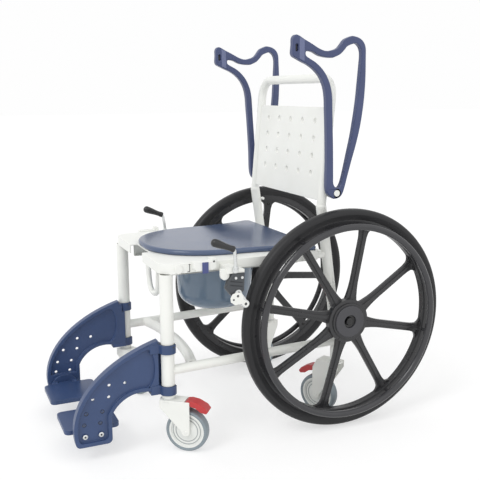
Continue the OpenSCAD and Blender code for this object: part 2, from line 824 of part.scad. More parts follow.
module pedal_shape() {
  pin_z = front_fork_z - pedal_drop;
  difference() {
    across(-pedal_w / 2, pedal_w) translate([pedal_y, pin_z]) polygon([for (p = pedal_shares) pedal_l * p]);
    bar_x(-fork_out, pedal_y, pin_z, pedal_pin_d + 2 * run_gap, 2 * fork_out);
  }
}

module front_left_fork() {
  color("#eceeea") caster_place(1, upright_y, front_left_heading) fork_shape(front_fork_z);
}

module front_left_disc() {
  color("#e2e4e0") caster_place(1, upright_y, front_left_heading) disc_shape();
}

module front_left_tread() {
  color("#828c92") caster_place(1, upright_y, front_left_heading) tread_shape();
}

module front_left_pedal() {
  color("#bf3437") caster_place(1, upright_y, front_left_heading) pedal_shape();
}

module front_right_fork() {
  color("#eceeea") caster_place(-1, upright_y, front_right_heading) fork_shape(front_fork_z);
}

module front_right_disc() {
  color("#e2e4e0") caster_place(-1, upright_y, front_right_heading) disc_shape();
}

module front_right_tread() {
  color("#828c92") caster_place(-1, upright_y, front_right_heading) tread_shape();
}

module front_right_pedal() {
  color("#bf3437") caster_place(-1, upright_y, front_right_heading) pedal_shape();
}

module rear_left_fork() {
  color("#eceeea") caster_place(1, post_foot_y, rear_left_heading) fork_shape(rear_fork_z);
}

module rear_left_disc() {
  color("#e2e4e0") caster_place(1, post_foot_y, rear_left_heading) disc_shape();
}

module rear_left_tread() {
  color("#828c92") caster_place(1, post_foot_y, rear_left_heading) tread_shape();
}

module rear_left_pedal() {
  color("#bf3437") caster_place(1, post_foot_y, rear_left_heading) pedal_shape();
}

module rear_right_fork() {
  color("#eceeea") caster_place(-1, post_foot_y, rear_right_heading) fork_shape(rear_fork_z);
}

module rear_right_disc() {
  color("#e2e4e0") caster_place(-1, post_foot_y, rear_right_heading) disc_shape();
}

module rear_right_tread() {
  color("#828c92") caster_place(-1, post_foot_y, rear_right_heading) tread_shape();
}

module rear_right_pedal() {
  color("#bf3437") caster_place(-1, post_foot_y, rear_right_heading) pedal_shape();
}

// leg rests
leg_in_x = leg_x - leg_t / 2;
leg_out_x = leg_x + leg_t / 2;
leg_rear_run = 23;
leg_curve_back = 141;
leg_curve_z = 82;
arch_run = 68.5;
arch_z = 74;
toe_run = 147;
leg_round = 12;
leg_rear_y = upright_y - leg_rear_run;
leg_curve_y = upright_y + leg_curve_back;
arch_y = upright_y - arch_run;
toe_rear_y = upright_y - toe_run;
leg_recess = 7.5;
panel_round = 20;

// outline of a leg plate, drawn in by d, its rear end rounded out by turn
function leg_outline(d, turn) =
  let (run = leg_curve_run - d)
  let (rise = leg_curve_rise - d)
  let (ra = leg_arch_r + d)
  let (low = leg_bottom_z + d)
  let (rear = leg_rear_y - d - turn)
  let (toe = toe_rear_y - d)
  let (a_top = acos((rear - leg_curve_y) / run))
  let (a_low = 180 + asin((leg_curve_z - low - leg_round) / rise))
  let (b_toe = 180 - acos(min(1, (arch_y - toe) / ra)))
  let (b_rear = acos((rear - arch_y) / ra))
  let (top = [rear, leg_curve_z + rise * sin(a_top)])
  let (foot = [rear, arch_z + ra * sin(b_rear)])
  concat(
    [for (i = [0:24]) let (a = a_top + (a_low - a_top) * i / 24)
      [leg_curve_y + run * cos(a), leg_curve_z + rise * sin(a)]],
    arc(leg_curve_y + run * cos(a_low) + leg_round, low + leg_round, leg_round, 195, 270, 5),
    arc(toe - leg_round, low + leg_round, leg_round, 270, 360, 6),
    arc(arch_y, arch_z, ra, b_toe, b_rear, 16),
    turn > 0 ? [for (a = [15:15:165])
      foot + (top - foot) * (1 - cos(a)) / 2 + [turn * sin(a), 0]] : []);

collar_h = 24;
collar_wall = 4.5;
collar_clear = 8;
high_collar_z = 257;
collar_z = [front_fork_z + bush_flange + collar_clear, high_collar_z];
collar_arm = 22;
collar_proud = 2.5;
slot_web = 5;
// setting holes: front hole of each row as shares of the outer curve's run and rise
hole_row_shares = [[-0.389, 0.822], [-0.499, 0.69], [-0.546, 0.54], [-0.562, 0.416]];
fix_row_share = [-0.56, 0.286];
hole_rows = [for (p = hole_row_shares) [p[0] * leg_curve_run, p[1] * leg_curve_rise]];
fix_row = [fix_row_share[0] * leg_curve_run, fix_row_share[1] * leg_curve_rise];

module collar(z) {
  r = upright_d / 2 + run_gap;
  difference() {
    union() {
      translate([frame_x, upright_y, z]) cylinder(r = r + collar_wall, h = collar_h);
      block(
        [leg_in_x, leg_rear_y - collar_arm, z],
        [leg_out_x + collar_proud, upright_y - r * 0.8, z + collar_h]);
    }
    translate([frame_x, upright_y, z - over]) cylinder(r = r, h = collar_h + 2 * over);
    block(
      [frame_x - r * 0.6, upright_y, z - over],
      [frame_x + r * 0.6, upright_y + over, z + collar_h + over]);
  }
}

module leg_plate_shape() {
  difference() {
    union() {
      across(leg_in_x, leg_t) polygon(leg_outline(0, 0));
      for (z = collar_z) collar(z);
      block(
        [leg_in_x, leg_rear_y - eps, collar_z[0] + eps],
        [leg_in_x + slot_web, upright_y - slot_web, collar_z[1] + eps]);
    }
    difference() {
      across(leg_out_x - leg_recess, over) polygon(leg_outline(leg_border, panel_round));
      for (z = collar_z) block(
        [leg_in_x, leg_rear_y - collar_arm, z], [leg_out_x + over, upright_y, z + collar_h]);
    }
    difference() {
      across(leg_in_x - over, leg_recess + over) polygon(leg_outline(leg_border, panel_round));
      block(
        [leg_in_x - 2 * over, leg_curve_y - leg_curve_run, 0],
        [leg_out_x, upright_y, bracket_low + bracket_rise + 2 * eps]);
    }
    for (p = hole_rows) for (s = [0, 1])
      bar_x(leg_in_x - over, upright_y + p[0] + s * set_pitch, p[1], set_hole_d, leg_t + 2 * over);
    for (s = [0, 1])
      bar_x(leg_in_x - over, upright_y + fix_row[0] + s * set_pitch, fix_row[1], set_hole_d,
        leg_t + 2 * over);
  }
}

// foot bracket with two knuckles and the pin of the footplate
half_moon_r = 36.5;
bracket_rise = 29;
bracket_t = 8;
bracket_low = 60;
knuckle_r = 6;
foot_pin_r = 3;
foot_mid_y = upright_y + fix_row[0] + set_pitch / 2;
hinge_x = leg_in_x - weld_gap - bracket_t - knuckle_r - eps;
hinge_z = bracket_low + knuckle_r;
knuckle_l = 16;
tongue = 2 * half_moon_r - 2 * knuckle_l - 4 * eps;

module foot_bracket_shape() {
  x0 = leg_in_x - weld_gap - bracket_t;
  end = half_moon_r - knuckle_l;
  pin = set_hole_d - 2 * run_gap;
  head = 6;
  across(x0, bracket_t) polygon([for (a = [0:7.5:180])
    [foot_mid_y + half_moon_r * cos(a), bracket_low + bracket_rise * sin(a)]]);
  for (s = [-1, 1]) {
    y = foot_mid_y + (s > 0 ? end : -half_moon_r);
    translate([hinge_x, y, hinge_z]) rotate([-90, 0, 0]) cylinder(r = knuckle_r, h = knuckle_l);
    block([hinge_x, y, bracket_low], [x0 + eps, y + knuckle_l, hinge_z + knuckle_r]);
    bar_x(x0 + bracket_t - eps, foot_mid_y + s * set_pitch / 2, fix_row[1], pin,
      leg_t - leg_recess + 2 * eps);
    bar_x(leg_out_x - leg_recess + run_gap, foot_mid_y + s * set_pitch / 2, fix_row[1], pin + head, sheet_t);
  }
  translate([hinge_x, foot_mid_y - half_moon_r, hinge_z]) rotate([-90, 0, 0])
    cylinder(r = foot_pin_r, h = 2 * half_moon_r);
}

module footplate_shape() {
  y0 = axle_y - foot_front_ahead;
  x1 = hinge_x - knuckle_r - 2 * eps;
  foot_w = x1 - foot_in_x;
  z0 = hinge_z + knuckle_r - eps - foot_t;
  corner = 14;
  lip = 3;
  difference() {
    union() {
      translate([x1 - foot_w / 2, 0, z0]) linear_extrude(foot_t)
        polygon(round_box(foot_w / 2, y0, y0 + foot_l, corner, corner, 8));
      block([x1 - eps, foot_mid_y - tongue / 2, z0 + lip],
        [hinge_x, foot_mid_y + tongue / 2, hinge_z + knuckle_r - eps]);
      translate([hinge_x, foot_mid_y - tongue / 2, hinge_z]) rotate([-90, 0, 0])
        cylinder(r = knuckle_r, h = tongue);
    }
    translate([hinge_x, foot_mid_y - half_moon_r, hinge_z]) rotate([-90, 0, 0])
      cylinder(r = foot_pin_r + run_gap, h = 2 * half_moon_r);
    translate([x1 - foot_w / 2, 0, z0 - over]) linear_extrude(foot_t - lip + over)
      polygon(round_box(foot_w / 2 - 2 * lip, y0 + 2 * lip, y0 + foot_l - 2 * lip, corner, corner, 8));
  }
}

module left_leg_plate() {
  color("#48587f") leg_plate_shape();
}

module left_foot_bracket() {
  color("#3f4d70") foot_bracket_shape();
}

module left_footplate() {
  color("#48587f") footplate_shape();
}

module right_leg_plate() {
  color("#48587f") mirror([1, 0, 0]) leg_plate_shape();
}

module right_foot_bracket() {
  color("#3f4d70") mirror([1, 0, 0]) foot_bracket_shape();
}

module right_footplate() {
  color("#48587f") mirror([1, 0, 0]) footplate_shape();
}

// armrests, outlines as shares of the arm's length from the hinge, along Y and Z
arm_out_shares = [
  [-0.076, 0.054], [-0.076, 0.185], [-0.079, 0.314], [-0.084, 0.442], [-0.089, 0.544], [-0.093, 0.62],
  [-0.106, 0.684], [-0.132, 0.738], [-0.172, 0.782], [-0.219, 0.814], [-0.268, 0.836], [-0.307, 0.855],
  [-0.328, 0.867], [-0.337, 0.888], [-0.333, 0.936], [-0.331, 0.978], [-0.305, 0.998], [-0.251, 0.971],
  [-0.196, 0.944], [-0.14, 0.915], [-0.088, 0.903], [-0.021, 0.918], [0.009, 0.944], [0.038, 0.978],
  [0.082, 0.996], [0.099, 0.999], [0.142, 0.989], [0.174, 0.966], [0.192, 0.93], [0.195, 0.87],
  [0.197, 0.758], [0.194, 0.657], [0.185, 0.555], [0.168, 0.44], [0.141, 0.324], [0.11, 0.22],
  [0.08, 0.114], [0.059, 0.036], [0.041, -0.01], [0.013, -0.032], [-0.017, -0.036], [-0.027, -0.032],
  [-0.062, -0.006]];
arm_in_shares = [
  [0.022, 0.043], [0.006, 0.034], [-0.012, 0.042], [-0.026, 0.066], [-0.028, 0.109], [-0.03, 0.187],
  [-0.034, 0.316], [-0.04, 0.444], [-0.044, 0.544], [-0.048, 0.62], [-0.06, 0.684], [-0.087, 0.746],
  [-0.122, 0.792], [-0.165, 0.829], [-0.208, 0.853], [-0.238, 0.871], [-0.243, 0.891], [-0.232, 0.901],
  [-0.189, 0.895], [-0.146, 0.874], [-0.098, 0.864], [-0.054, 0.862], [-0.038, 0.866], [0.004, 0.884],
  [0.037, 0.914], [0.06, 0.937], [0.114, 0.954], [0.136, 0.946], [0.154, 0.926], [0.164, 0.884],
  [0.158, 0.797], [0.15, 0.696], [0.142, 0.607], [0.132, 0.529], [0.122, 0.465], [0.106, 0.369],
  [0.081, 0.257], [0.058, 0.152], [0.038, 0.075]];
latch_slot_share = [-0.305, 0.92];
latch_w = 7;
latch_l = 18;

module armrest_shape() {
  difference() {
    across(arm_x - arm_t / 2, arm_t) translate([arm_y, arm_z]) polygon(smooth(arm_out_shares, arm_len, 3));
    across(arm_x - arm_t, 2 * arm_t) translate([arm_y, arm_z]) polygon(smooth(arm_in_shares, arm_len, 3));
    bar_x(arm_x - arm_t, arm_y, arm_z, arm_pin_d + 2 * run_gap, 2 * arm_t);
    across(arm_x - arm_t, 2 * arm_t) translate([arm_y, arm_z] + arm_len * latch_slot_share)
      polygon(round_box(latch_w / 2, -latch_l / 2, latch_l / 2, latch_w * 0.48, latch_w * 0.48, 6));
  }
}

module left_armrest() {
  color("#535d84") armrest_shape();
}

module right_armrest() {
  color("#535d84") translate([0, arm_y, arm_z]) rotate([right_arm_lean, 0, 0])
    translate([0, -arm_y, -arm_z]) mirror([1, 0, 0]) armrest_shape();
}

// brake lever, grip and shoe
rod_foot = [lever_x + lever_d / 2, lever_y, lever_z + pin_d];
lever_out = 8;
lever_forward = 5;
lever_rise = 54;
grip_start = 2;
rod_top = [lever_x + lever_t / 2 + lever_out, lever_y - lever_forward, lever_z + lever_rise];
grip_tilt = 22;
grip_dir = [0, -cos(grip_tilt), sin(grip_tilt)];
grip_base = rod_top + grip_start * grip_dir;

module lever_shape() {
  boss = bracket_h - 2 * eps;
  color("#d9dbda") difference() {
    union() {
      bar_x(lever_x, lever_y, lever_z, boss, lever_t);
      rod(rod_foot, rod_top, lever_d);
      translate(rod_top) sphere(d = lever_d + 2 * eps);
      rod(rod_top, rod_top + grip_l * 0.6 * grip_dir, lever_d);
    }
    bar_x(lever_x - over, lever_y, lever_z, pin_d + 2 * run_gap, 2 * over);
  }
}

module grip_shape() {
  neck = grip_d * 0.36;
  turn = 90 - grip_tilt;
  bore = lever_d / 2 + weld_gap;
  translate(grip_base) rotate([turn, 0, 0]) rotate_extrude() difference() {
    polygon(concat(
      [[0, 0], [neck, 0], [neck * 1.1, grip_l * 0.05]],
      [[neck * 0.95, grip_l * 0.2], [neck * 1.05, grip_l * 0.4]],
      [for (a = [0:10:80]) [
        neck * 1.05 + (grip_d / 2 - neck * 1.05) * sin(a * 9 / 8),
        grip_l * (0.4 + 0.45 * a / 80)]],
      [for (a = [15:15:90]) [grip_d / 2 * cos(a), grip_l * (0.85 + 0.15 * sin(a))]]));
    polygon([[-over, -over], [bore, -over], [bore, grip_l * 0.6], [-over, grip_l * 0.6]]);
  }
}

module shoe_shape() {
  x0 = house_out_x + run_gap;
  bore = roller_d * 0.55;
  roller_x = wheel_x - tyre_w * 0.4;
  difference() {
    union() {
      bar_x(x0, shoe_y, shoe_z, shoe_hub_d, shoe_t);
      across(x0, shoe_t) polygon([
        [shoe_y - shoe_hub_d / 2, shoe_z], [shoe_y + shoe_hub_d / 2, shoe_z],
        [roller_y + roller_d / 2, roller_z], [roller_y - roller_d / 2, roller_z]]);
      bar_x(roller_x, roller_y, roller_z, roller_d, x0 + shoe_t - roller_x + 2 * eps);
    }
    bar_x(x0 - over, shoe_y, shoe_z, pin_d + 2 * run_gap, 2 * over);
    bar_x(roller_x - over, roller_y, roller_z, bore, wheel_track);
  }
}

module left_brake_lever() {
  lever_shape();
}

module left_brake_grip() {
  color("#2b2b2e") grip_shape();
}

module left_brake_shoe() {
  color("#d9dbda") shoe_shape();
}

module right_brake_lever() {
  mirror([1, 0, 0]) lever_shape();
}

module right_brake_grip() {
  color("#2b2b2e") mirror([1, 0, 0]) grip_shape();
}

module right_brake_shoe() {
  color("#d9dbda") mirror([1, 0, 0]) shoe_shape();
}

// pan and its handle
pan_y = axle_y - pan_ahead;
pan_rim_t = 3.5;

module pan() {
  r = pan_d / 2;
  low = 0.42 * r;
  rim = pan_rim_d / 2;
  inner = low - pan_wall;
  color("#60738a") translate([0, pan_y, 0]) rotate_extrude($fn = 96) polygon(concat(
    [[0, pan_bottom_z]],
    arc(r * 0.94 - low, pan_bottom_z + low, low, -90, 0, 10),
    [[r, pan_rim_z], [rim, pan_rim_z], [rim, pan_rim_z + pan_rim_t], [r - pan_wall, pan_rim_z + pan_rim_t]],
    arc(r * 0.94 - low, pan_bottom_z + low, inner, 0, -90, 10),
    [[0, pan_bottom_z + pan_wall]]));
}

module pan_handle() {
  z = pan_rim_z + pan_rim_t + weld_gap;
  lap = handle_bar + eps;
  rim_front_y = pan_y - pan_rim_d / 2;
  grip_y = rim_front_y - handle_run;
  top_half = handle_w / 2;
  low_half = handle_low_w / 2;
  bar = handle_bar;
  color("#eff0ec") {
    block([-top_half, grip_y - handle_t / 2, z], [top_half, rim_front_y + lap, z + pan_rim_t]);
    translate([0, grip_y + handle_t / 2, z + eps]) rotate([90, 0, 0]) linear_extrude(handle_t) difference() {
      polygon(concat([[top_half, 0]],
        arc(low_half - bar, -handle_drop + bar, bar, 0, -90, 6),
        arc(bar - low_half, -handle_drop + bar, bar, -90, -180, 6),
        [[-top_half, 0]]));
      polygon([
        [top_half - 2 * bar, -bar * 0.5], [low_half - bar, -handle_drop + 2 * bar],
        [bar - low_half, -handle_drop + 2 * bar], [2 * bar - top_half, -bar * 0.5]]);
    }
  }
}

// lid outline from its waist forward to the tip and back to the straight rear edge
lid_power = 2.3;
lid_waist_y = axle_y - lid_waist_ahead;
lid_rear_y = axle_y - seat_rear_ahead;

function lid_side(s, d) = lid_waist + (lid_rear - lid_waist) * s * s - d;

function lid_outline(d) = concat(
  [for (a = [0:7.5:180]) [
    (lid_waist - d) * sign(cos(a)) * pow(abs(cos(a)), 2 / lid_power),
    lid_waist_y - (lid_tip_ahead - lid_waist_ahead - d) * pow(abs(sin(a)), 2 / lid_power)]],
  [for (i = [1:8]) [-lid_side(i / 8, d), lid_waist_y + (lid_rear_y - d - lid_waist_y) * i / 8]],
  [for (i = [8:-1:1]) [lid_side(i / 8, d), lid_waist_y + (lid_rear_y - d - lid_waist_y) * i / 8]]);

module seat_lid() {
  z = seat_top_z + run_gap;
  step = 3;
  color("#4a5d80") {
    translate([0, 0, z]) linear_extrude(lid_t - step) polygon(lid_outline(0));
    translate([0, 0, z + lid_t - step - weld_gap]) linear_extrude(step + weld_gap)
      polygon(lid_outline(2 * step));
  }
}

front_uprights();
bottom_rails();
back_frame();
cross_tube();
seat_rails();
seat_board();
backrest_panel();
axle_sockets();
wheel_axles();
pan_runners();
armrest_hinges();
armrest_rests();
rest_strips();
brake_brackets();
brake_housings();
stem_bushes();
frame_screws();
left_tyre();
left_rim();
left_push_rim();
left_hub_cap();
left_axle_button();
right_tyre();
right_rim();
right_push_rim();
right_hub_cap();
right_axle_button();
front_left_fork();
front_left_disc();
front_left_tread();
front_left_pedal();
front_right_fork();
front_right_disc();
front_right_tread();
front_right_pedal();
rear_left_fork();
rear_left_disc();
rear_left_tread();
rear_left_pedal();
rear_right_fork();
rear_right_disc();
rear_right_tread();
rear_right_pedal();
left_leg_plate();
left_foot_bracket();
left_footplate();
right_leg_plate();
right_foot_bracket();
right_footplate();
left_armrest();
right_armrest();
left_brake_lever();
left_brake_grip();
left_brake_shoe();
right_brake_lever();
right_brake_grip();
right_brake_shoe();
pan();
pan_handle();
seat_lid();
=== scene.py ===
import json
import math

import bmesh
import bpy
from mathutils import Matrix, Vector

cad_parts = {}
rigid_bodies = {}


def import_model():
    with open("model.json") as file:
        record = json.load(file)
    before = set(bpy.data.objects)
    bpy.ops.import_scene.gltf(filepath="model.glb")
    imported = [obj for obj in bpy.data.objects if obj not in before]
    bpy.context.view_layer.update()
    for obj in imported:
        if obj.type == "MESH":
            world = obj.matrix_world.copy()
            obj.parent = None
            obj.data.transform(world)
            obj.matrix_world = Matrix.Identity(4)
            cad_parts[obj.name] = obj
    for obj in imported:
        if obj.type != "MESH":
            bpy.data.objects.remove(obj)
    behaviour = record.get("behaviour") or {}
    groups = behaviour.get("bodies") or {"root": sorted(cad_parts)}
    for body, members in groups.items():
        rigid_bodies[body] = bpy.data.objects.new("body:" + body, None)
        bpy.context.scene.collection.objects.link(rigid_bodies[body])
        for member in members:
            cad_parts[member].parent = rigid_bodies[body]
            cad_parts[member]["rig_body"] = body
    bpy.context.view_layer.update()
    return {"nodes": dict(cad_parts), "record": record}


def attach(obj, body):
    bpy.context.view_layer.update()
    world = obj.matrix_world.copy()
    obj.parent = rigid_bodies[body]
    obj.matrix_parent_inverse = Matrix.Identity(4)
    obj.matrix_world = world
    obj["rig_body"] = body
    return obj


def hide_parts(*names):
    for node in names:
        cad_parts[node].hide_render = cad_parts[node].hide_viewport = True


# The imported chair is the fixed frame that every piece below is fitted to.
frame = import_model()
nodes = frame["nodes"]
MM = 0.001


# Welded frame: uprights, side rails, bowed cross tube and the bent back hoop are
# round steel tube, butted and welded, then powder coated off-white and baked. The
# coat is even and satin, with a faint orange-peel ripple.
def linear(code):
    """An sRGB hex colour as linear red, green, blue and alpha."""
    channels = [int(code[i:i + 2], 16) / 255 for i in (1, 3, 5)]
    return [c / 12.92 if c <= 0.04045 else ((c + 0.055) / 1.055) ** 2.4 for c in channels] + [1.0]


def add(tree, kind, inputs=(), stops=(), **settings):
    """Adds a node, with its settings, its values or links, and the colours of a ramp."""
    made = tree.nodes.new(kind)
    for name, value in settings.items():
        setattr(made, name, value)
    for name, value in dict(inputs).items():
        if isinstance(value, bpy.types.NodeSocket):
            tree.links.new(value, made.inputs[name])
        else:
            made.inputs[name].default_value = value
    for stop, (at, code) in zip(made.color_ramp.elements if stops else (), stops):
        stop.position = at
        stop.color = linear(code)
    return made


def new_finish(name, **values):
    """A material with one shader, and the place on the piece that its patterns follow."""
    material = bpy.data.materials.new(name)
    material.use_nodes = True
    tree = material.node_tree
    tree.nodes.clear()
    place = add(tree, "ShaderNodeTexCoord").outputs["Object"]
    sockets = {k.replace("_", " "): v for k, v in values.items()}
    shader = add(tree, "ShaderNodeBsdfPrincipled", sockets)
    add(tree, "ShaderNodeOutputMaterial", {"Surface": shader.outputs["BSDF"]})
    return material, tree, shader, place


def moulded(name, pale, deep, roughness, grain_mm, relief_mm, **values):
    """A moulded or coated skin: cloudy tone, uneven gloss and a grain of that size and relief."""
    cloud_mm, low, high, uneven = 90, 0.3, 0.7, 0.15
    material, tree, shader, place = new_finish(name, **values)
    cloud = add(tree, "ShaderNodeTexNoise", {
        "Vector": place, "Scale": 1 / (cloud_mm * MM), "Detail": 4.0})
    tone = add(tree, "ShaderNodeValToRGB", {"Fac": cloud.outputs["Fac"]},
               [(low, deep), (high, pale)])
    grain = add(tree, "ShaderNodeTexNoise", {
        "Vector": place, "Scale": 1 / (grain_mm * MM), "Detail": 2.0})
    gloss = add(tree, "ShaderNodeMapRange", {
        "Value": cloud.outputs["Fac"], "From Min": low, "From Max": high,
        "To Min": roughness * (1 - uneven), "To Max": roughness * (1 + uneven)})
    relief = add(tree, "ShaderNodeBump", {
        "Height": grain.outputs["Fac"], "Strength": 0.5, "Distance": relief_mm * MM})
    tree.links.new(tone.outputs["Color"], shader.inputs["Base Color"])
    tree.links.new(gloss.outputs["Result"], shader.inputs["Roughness"])
    tree.links.new(relief.outputs["Normal"], shader.inputs["Normal"])
    return material


def coat(node, material):
    """A CAD node keeps its shape and takes this material."""
    nodes[node].data.materials.clear()
    nodes[node].data.materials.append(material)


powder_coat = moulded("powder_coated_steel_satin", "#f3f4ef", "#eeefea", 0.36, 1.6, 0.03)
for tube in ("front_uprights", "bottom_rails", "back_frame", "cross_tube", "seat_rails",
             "axle_sockets"):
    coat(tube, powder_coat)


# Armrest hinges and brake brackets are small pressed and welded blocks on the frame,
# coated with it. Their edges are rounded by the deburring before the coat goes on, and
# catch a thin line of light.
def shown(name, mesh, body, material, stands_for=()):
    """Puts a finished mesh in the scene, riding on its body."""
    smooth_to = math.radians(40)
    mesh.polygons.foreach_set("use_smooth", [True] * len(mesh.polygons))
    mesh.set_sharp_from_angle(angle=smooth_to)
    mesh.materials.clear()
    mesh.materials.append(material)
    piece = bpy.data.objects.new(name, mesh)
    bpy.context.scene.collection.objects.link(piece)
    even = piece.modifiers.new("even_normals", "WEIGHTED_NORMAL")
    even.keep_sharp = True
    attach(piece, body)
    if stands_for:
        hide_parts(*stands_for)


def rounded(node, material, radius_mm, steps=2, merge=True):
    """A copy of a CAD node with its sharp edges rounded, shown in the node's place."""
    weld, flat, sharp = 0.01 * MM, math.radians(0.4), math.radians(32)
    shape = bmesh.new()
    shape.from_mesh(nodes[node].data)
    bmesh.ops.remove_doubles(shape, verts=shape.verts, dist=weld)
    if merge:
        bmesh.ops.dissolve_limit(shape, angle_limit=flat, verts=shape.verts, edges=shape.edges)
    edges = [e for e in shape.edges if e.is_manifold and e.calc_face_angle() > sharp]
    bmesh.ops.bevel(shape, geom=edges, offset=radius_mm * MM, offset_type="OFFSET",
                    segments=steps, profile=0.5, affect="EDGES", clamp_overlap=False)
    mesh = bpy.data.meshes.new(f"{node}_rounded")
    shape.to_mesh(mesh)
    shape.free()
    shown(f"{node}_rounded", mesh, nodes[node]["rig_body"], material, [node])


for block in ("armrest_hinges", "brake_brackets"):
    rounded(block, powder_coat, 1.0)


# Seat board, back panel and armrest rests are injection moulded in white polypropylene,
# clipped or screwed over the tubes. The skin is softly matt, with a fine spark grain that
# is drawn coarser here so that it shows.
white_pp = moulded("moulded_polypropylene_white", "#f3f4f0", "#eeefea", 0.42, 1.2, 0.03)
rounded("seat_board", white_pp, 1.6, 3, merge=False)
rounded("backrest_panel", white_pp, 1.2)
rounded("armrest_rests", white_pp, 1.4)


# Skirt slots, and small white fittings: the narrow slots and seams of the seat's skirt are
# thin dark strips of painted shade laid on the skirt's face, and a small disc of the same
# painted shade marks the notch on each rest's ear. A round-ended cup stands below each brake
# bracket and a short stub on each rear post, both moulded in the seat's white.
def drawn_in(outline, by):
    """A flat outline moved inward all round."""
    least_lean = 0.4
    around = outline[1:] + outline[:1]
    area = sum(a[0] * b[1] - b[0] * a[1] for a, b in zip(outline, around))
    turn = 1 if area > 0 else -1
    moved = []
    for k, here in enumerate(outline):
        one = (Vector(here) - Vector(outline[k - 1])).normalized()
        two = (Vector(around[k]) - Vector(here)).normalized()
        inward = (turn * Vector((-one.y - two.y, one.x + two.x))).normalized()
        lean = max(least_lean, inward.dot(turn * Vector((-one.y, one.x))))
        moved.append(Vector(here) + inward * by / lean)
    return moved


def tube_faces(rings, around):
    """Faces of a closed tube: both ends, and the sides between its rings of points."""
    last = (rings - 1) * around
    faces = [tuple(range(around)), tuple(range(last, last + around))]
    for r in range(rings - 1):
        one, two = r * around, (r + 1) * around
        faces += [(one + k, one + (k + 1) % around, two + (k + 1) % around, two + k)
                  for k in range(around)]
    return faces


def slab(outline, low, high, edge):
    """Points and faces of a flat piece with eased edges: an outline in Y and Z, deep along X."""
    ease = 0.3 * edge
    rows = [(low, edge), (low + ease, ease), (low + edge, 0),
            (high - edge, 0), (high - ease, ease), (high, edge)]
    points = [(along, q[0], q[1]) for along, by in rows for q in drawn_in(outline, by)]
    return points, tube_faces(len(rows), len(outline))


def turned(profile, around=32):
    """Points and faces of a piece turned about X, from pairs of radius and place along it."""
    points, rings, faces = [], [], []
    for radius, along in profile:
        spots = 1 if radius == 0 else around
        rings.append(list(range(len(points), len(points) + spots)))
        for k in range(spots):
            a = 2 * math.pi * k / around
            points.append((along, radius * math.cos(a), radius * math.sin(a)))
    for one, two in zip(rings, rings[1:]):
        for k in range(around):
            n = (k + 1) % around
            corner = [one[k % len(one)], one[n % len(one)], two[n % len(two)], two[k % len(two)]]
            faces.append(tuple(dict.fromkeys(corner)))
    return points, faces


def built(name, parts, body, material, stands_for=()):
    """Joins parts, each of points, faces and a placing matrix in mm, and shows them."""
    shape = bmesh.new()
    for points, faces, placing in parts:
        corners = [shape.verts.new((placing @ Vector(q)) * MM) for q in points]
        for face in faces:
            shape.faces.new([corners[k] for k in face])
    bmesh.ops.recalc_face_normals(shape, faces=shape.faces)
    mesh = bpy.data.meshes.new(name)
    shape.to_mesh(mesh)
    shape.free()
    shown(name, mesh, body, material, stands_for)


# Painted shade: one flat dark grey for the shade in slots, notches, sockets and holes; the dark
# collar pin ends are drawn in it too.
painted_shade_grey = moulded("painted_shade_slots_holes", "#4c4d4f", "#434446", 0.6, 1.0, 0.02)
sides = {"left": Matrix.Identity(4), "right": Matrix.Diagonal((-1, 1, 1, 1))}
# Outlines, in Y and Z, of the strips of painted shade that draw the skirt's slots and seams.
slot_lines = (
    [(-209.0, 484.8), (-204.6, 484.4), (-204.6, 482.6), (-209.0, 483.0)],
    [(-207.6, 483.4), (-205.8, 483.4), (-205.8, 465.2), (-207.6, 465.2)],
    [(-212.4, 466.4), (-206.6, 466.4), (-206.6, 464.6), (-212.4, 464.6)])
slot_low, slot_high, slot_edge = 227.7, 228.5, 0.2
notch = turned([(0, 248.5), (2.6, 248.5), (2.6, 249.3), (2.0, 249.6), (0, 249.6)], 16)
notch_at = Matrix.Translation((0, -150.1, 490.4))
cup_mid, cup_half, cup_low, cup_top, cup_steps = -129.75, 11.75, 457.0, 473.5, 12
cup = [(cup_mid - cup_half, cup_top), (cup_mid + cup_half, cup_top), (cup_mid + cup_half, cup_low)]
cup += [(cup_mid + cup_half * math.cos(a), cup_low - cup_half * math.sin(a))
        for a in [math.pi * k / cup_steps for k in range(1, cup_steps)]]
cup += [(cup_mid - cup_half, cup_low)]
cup_in, cup_out, cup_edge = 262.0, 272.5, 1.6
stub = turned([(0, 196.0), (4.4, 196.0), (4.4, 187.4), (3.6, 186.4), (0, 186.4)], 20)
stub_at = Matrix.Translation((0, 190.5, 571.6))
for side, mirror in sides.items():
    lines = [slab(line, slot_low, slot_high, slot_edge) + (mirror,) for line in slot_lines]
    built(f"{side}_skirt_slot_shade", lines + [notch + (mirror @ notch_at,)], "frame", painted_shade_grey)
    fittings = [slab(cup, cup_in, cup_out, cup_edge) + (mirror,), stub + (mirror @ stub_at,)]
    built(f"{side}_brake_cup", fittings, "frame", white_pp)


# Latch strips on the armrest rests: moulded blue polypropylene, pressed into the white
# blocks, with a plain half-matt face.
strip_blue = moulded("moulded_polypropylene_strip_blue", "#4a5387", "#454e80", 0.4, 1.0, 0.02)
rounded("rest_strips", strip_blue, 0.6)


# Pan runners under the seat and the bushes in the tube ends: turned and moulded pale
# grey nylon, slightly waxy, pushed in.
pale_nylon = moulded("moulded_nylon_pale_grey", "#dcdedb", "#d3d5d2", 0.45, 1.0, 0.02)
for fitting in ("pan_runners", "stem_bushes"):
    coat(fitting, pale_nylon)


